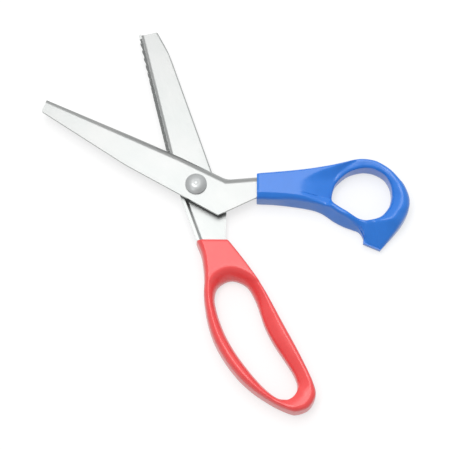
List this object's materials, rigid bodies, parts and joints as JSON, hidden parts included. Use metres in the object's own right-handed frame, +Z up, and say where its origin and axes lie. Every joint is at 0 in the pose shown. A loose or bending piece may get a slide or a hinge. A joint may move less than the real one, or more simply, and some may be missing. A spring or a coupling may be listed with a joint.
{
  "type": "pinking shears",
  "caption": "Pinking shears: two crossed steel blades with meshing zigzag teeth, a thumb handle with a hooked end and a long finger handle.",
  "frame": {"origin": "on the pivot's axis, on the flat underside of the lock nut, which rests on the table", "axes": "+Z up along the pivot's axis, +Y halves the angle between the open blades, towards their tips, +X to the right"},
  "size_m": [0.1427, 0.2312, 0.013],
  "materials": {
    "blade_steel": "satin, fine ground",
    "screw_steel": "lathe-turned head",
    "thumb_plastic": "moulded, semi-gloss",
    "finger_plastic": "moulded, semi-gloss",
    "bush_bronze": "turned",
    "slip_nylon": "plain",
    "spring_steel": "dark spring steel",
    "zinc_steel": "zinc plated"
  },
  "bodies": {
    "lower_half": {"lower_blade": "blade_steel", "finger_handle": "finger_plastic", "pivot_bush": "bush_bronze", "slip_washer": "slip_nylon"},
    "upper_half": {"upper_blade": "blade_steel", "thumb_handle": "thumb_plastic", "pivot_screw": "screw_steel", "blade_spacer": "zinc_steel", "spring_washer": "spring_steel", "flat_washer": "zinc_steel", "lock_nut": "zinc_steel"}
  },
  "joints": [
    {"name": "pivot", "type": "hinge", "parent": "lower_half", "child": "upper_half", "pos_m": [0, 0, 0.0065], "axis": [0, 0, 1], "range_deg": [-39, 45]}
  ]
}
